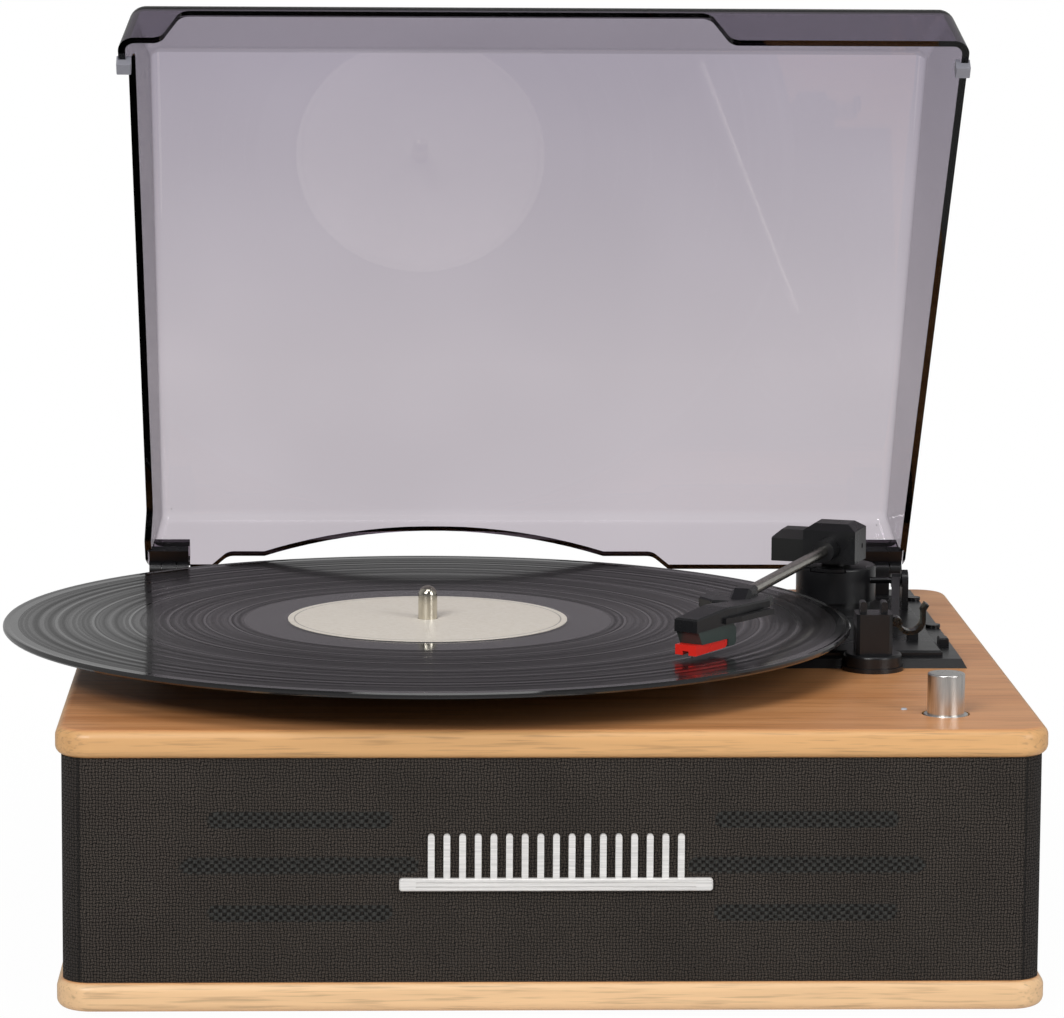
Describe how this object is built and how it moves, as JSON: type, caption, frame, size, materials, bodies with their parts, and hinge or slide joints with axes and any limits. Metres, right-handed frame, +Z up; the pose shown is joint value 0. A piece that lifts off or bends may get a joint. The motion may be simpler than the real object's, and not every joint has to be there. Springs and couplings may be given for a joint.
{
  "type": "record player",
  "caption": "Table record player with a wooden cabinet wrapped in grille cloth, a tinted hinged lid, a record on a spindle and a straight tonearm.",
  "frame": {"origin": "centre of the cabinet's footprint on the surface that the rubber feet stand on", "axes": "+Z up, the front with the badge faces -Y, +X towards the tonearm side"},
  "size_m": [0.3558, 0.324, 0.3292],
  "materials": {
    "oak_veneer": "satin lacquer",
    "fibreboard": "raw",
    "grille_fabric": "coarse weave",
    "foot_rubber": "matte",
    "badge_metal": "satin",
    "black_plastic": "fine texture",
    "weight_metal": "matte black",
    "tube_metal": "satin",
    "steel": "satin",
    "spindle_metal": "polished",
    "bronze": "satin",
    "platter_metal": "satin black",
    "vinyl": "gloss, grooved",
    "label_paper": "paper",
    "cartridge_plastic": "satin",
    "red_plastic": "gloss",
    "smoke_plastic": "translucent",
    "lid_acrylic": "clear tinted",
    "bumper_rubber": "translucent",
    "knob_metal": "brushed",
    "pot_metal": "satin",
    "lamp_lens": "clear",
    "speaker_metal": "satin",
    "cone_paper": "paper",
    "circuit": "satin"
  },
  "bodies": {
    "cabinet": {"rubber_feet": "foot_rubber", "base_board": "oak_veneer", "base_screws": "steel", "front_baffle": "fibreboard", "left_panel": "fibreboard", "right_panel": "fibreboard", "rear_panel": "fibreboard", "grille_cloth": "grille_fabric", "top_board": "oak_veneer", "badge_bar": "badge_metal", "badge_fins": "badge_metal", "deck_plate": "black_plastic", "deck_screws": "steel", "bearing_bush": "bronze", "motor": "steel", "drive_belt": "foot_rubber", "arm_turret": "black_plastic", "cue_bracket": "black_plastic", "arm_rest_post": "black_plastic", "clip_pin": "steel", "hinge_base_left": "black_plastic", "hinge_base_right": "black_plastic", "hinge_pins": "steel", "potentiometer": "pot_metal", "power_led": "lamp_lens", "speaker_left": "speaker_metal", "speaker_right": "speaker_metal", "speaker_cones": "cone_paper", "amp_board": "circuit", "jack_plate": "black_plastic", "rear_jacks": "bronze"},
    "lid": {"lid_cover": "lid_acrylic", "lid_bumpers": "bumper_rubber", "hinge_arm_left": "black_plastic", "hinge_arm_right": "black_plastic"},
    "turntable": {"platter": "platter_metal", "platter_mat": "foot_rubber", "spindle": "spindle_metal", "record": "vinyl", "record_label": "label_paper"},
    "motor_rotor": {"motor_pulley": "bronze"},
    "arm_base": {"arm_yoke": "weight_metal", "arm_pivot_pin": "steel"},
    "tonearm": {"arm_housing": "black_plastic", "counterweight": "weight_metal", "arm_tube": "tube_metal", "headshell": "black_plastic", "finger_lift": "black_plastic", "cartridge": "cartridge_plastic", "cartridge_pins": "bronze", "stylus_holder": "red_plastic", "stylus": "tube_metal"},
    "cue_lift": {"lift_platform": "black_plastic"},
    "cue_handle": {"cue_lever": "weight_metal", "cue_shaft": "steel"},
    "rest_clip": {"arm_clip": "smoke_plastic"},
    "volume": {"volume_knob": "knob_metal", "pot_shaft": "steel"},
    "speed_selector": {"speed_switch": "black_plastic"},
    "stop_selector": {"auto_stop_switch": "black_plastic"}
  },
  "joints": [
    {"name": "lid_hinge", "type": "hinge", "parent": "cabinet", "child": "lid", "pos_m": [0, 0.1235, 0.1086], "axis": [-1, 0, 0], "range_deg": [-55, 0]},
    {"name": "platter_spin", "type": "hinge", "parent": "cabinet", "child": "turntable", "pos_m": [-0.04, -0.0136, 0.105], "axis": [0, 0, -1], "continuous": true},
    {"name": "pulley_spin", "type": "hinge", "parent": "cabinet", "child": "motor_rotor", "pos_m": [0.012, 0.038, 0.1035], "axis": [0, 0, -1], "continuous": true},
    {"name": "tonearm_swing", "type": "hinge", "parent": "cabinet", "child": "arm_base", "pos_m": [0.1154, 0.08, 0.125], "axis": [0, 0, -1], "range_deg": [-20.1, 21]},
    {"name": "tonearm_lift", "type": "hinge", "parent": "arm_base", "child": "tonearm", "pos_m": [0.1154, 0.08, 0.125], "axis": [-0.9461, 0.3239, 0], "range_deg": [0, 3]},
    {"name": "cue_lever_turn", "type": "hinge", "parent": "cabinet", "child": "cue_handle", "pos_m": [0.1372, 0.072, 0.1125], "axis": [-1, 0, 0], "range_deg": [0, 25]},
    {"name": "cue_platform_rise", "type": "slide", "parent": "cabinet", "child": "cue_lift", "axis": [0, 0, 1], "range_m": [0, 0.002]},
    {"name": "rest_clip_turn", "type": "hinge", "parent": "cabinet", "child": "rest_clip", "pos_m": [0.1259, -0.033, 0.1142], "axis": [0, -1, 0], "range_deg": [0, 90]},
    {"name": "volume_turn", "type": "hinge", "parent": "cabinet", "child": "volume", "pos_m": [0.133, -0.12, 0.1], "axis": [0, 0, -1], "range_deg": [0, 300]},
    {"name": "speed_slide", "type": "slide", "parent": "cabinet", "child": "speed_selector", "axis": [0, 1, 0], "range_m": [0, 0.008]},
    {"name": "auto_stop_slide", "type": "slide", "parent": "cabinet", "child": "stop_selector", "axis": [0, 1, 0], "range_m": [0, 0.004]}
  ],
  "couplings": [
    {"joint": "pulley_spin", "follows": "platter_spin", "ratio": 11},
    {"joint": "tonearm_lift", "follows": "cue_lever_turn", "ratio": 0.12},
    {"joint": "cue_platform_rise", "follows": "cue_lever_turn", "m_per_rad": 0.0045837}
  ]
}
